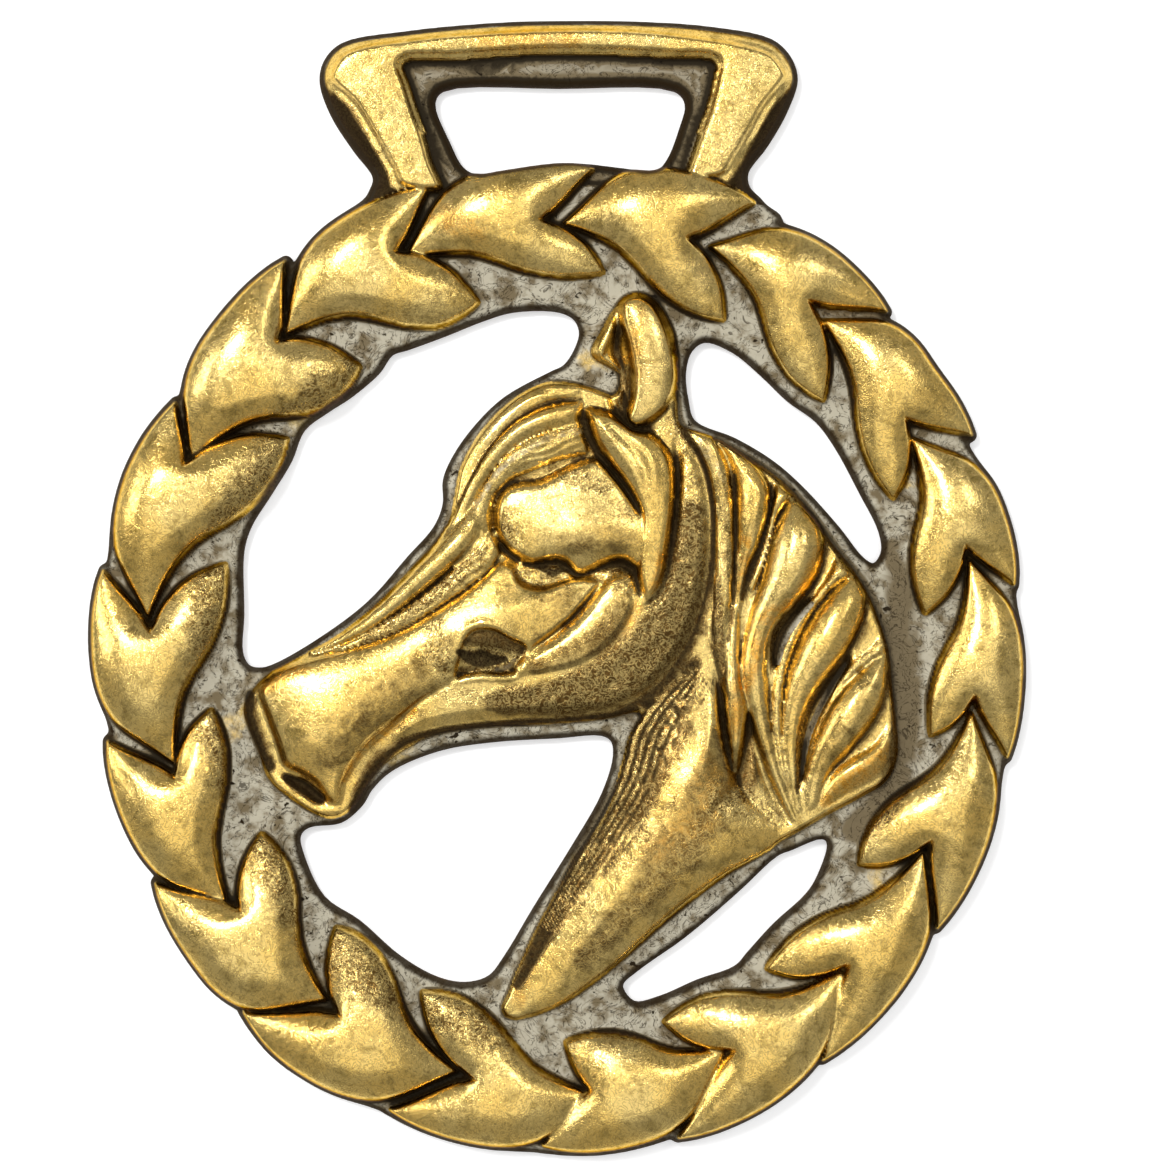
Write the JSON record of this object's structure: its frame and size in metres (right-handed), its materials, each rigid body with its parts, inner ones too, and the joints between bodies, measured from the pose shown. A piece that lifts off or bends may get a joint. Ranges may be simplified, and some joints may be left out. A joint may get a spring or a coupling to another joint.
{
  "type": "horse brass",
  "caption": "Cast openwork horse brass: a leaf wreath round a horse's head in relief, under a trapezoid strap loop; it lies on its flat back.",
  "frame": {"origin": "centre of the outline on the flat back, where the brass rests", "axes": "+Z out of the relief, +Y towards the strap loop, +X to the right as the horse faces left"},
  "size_m": [0.0742, 0.0902, 0.0047],
  "materials": {
    "antique_brass": "polished high relief, with brown-black patina in the recesses and dull grey ground"
  },
  "bodies": {
    "root": {"horse_brass": "antique_brass"}
  },
  "joints": []
}
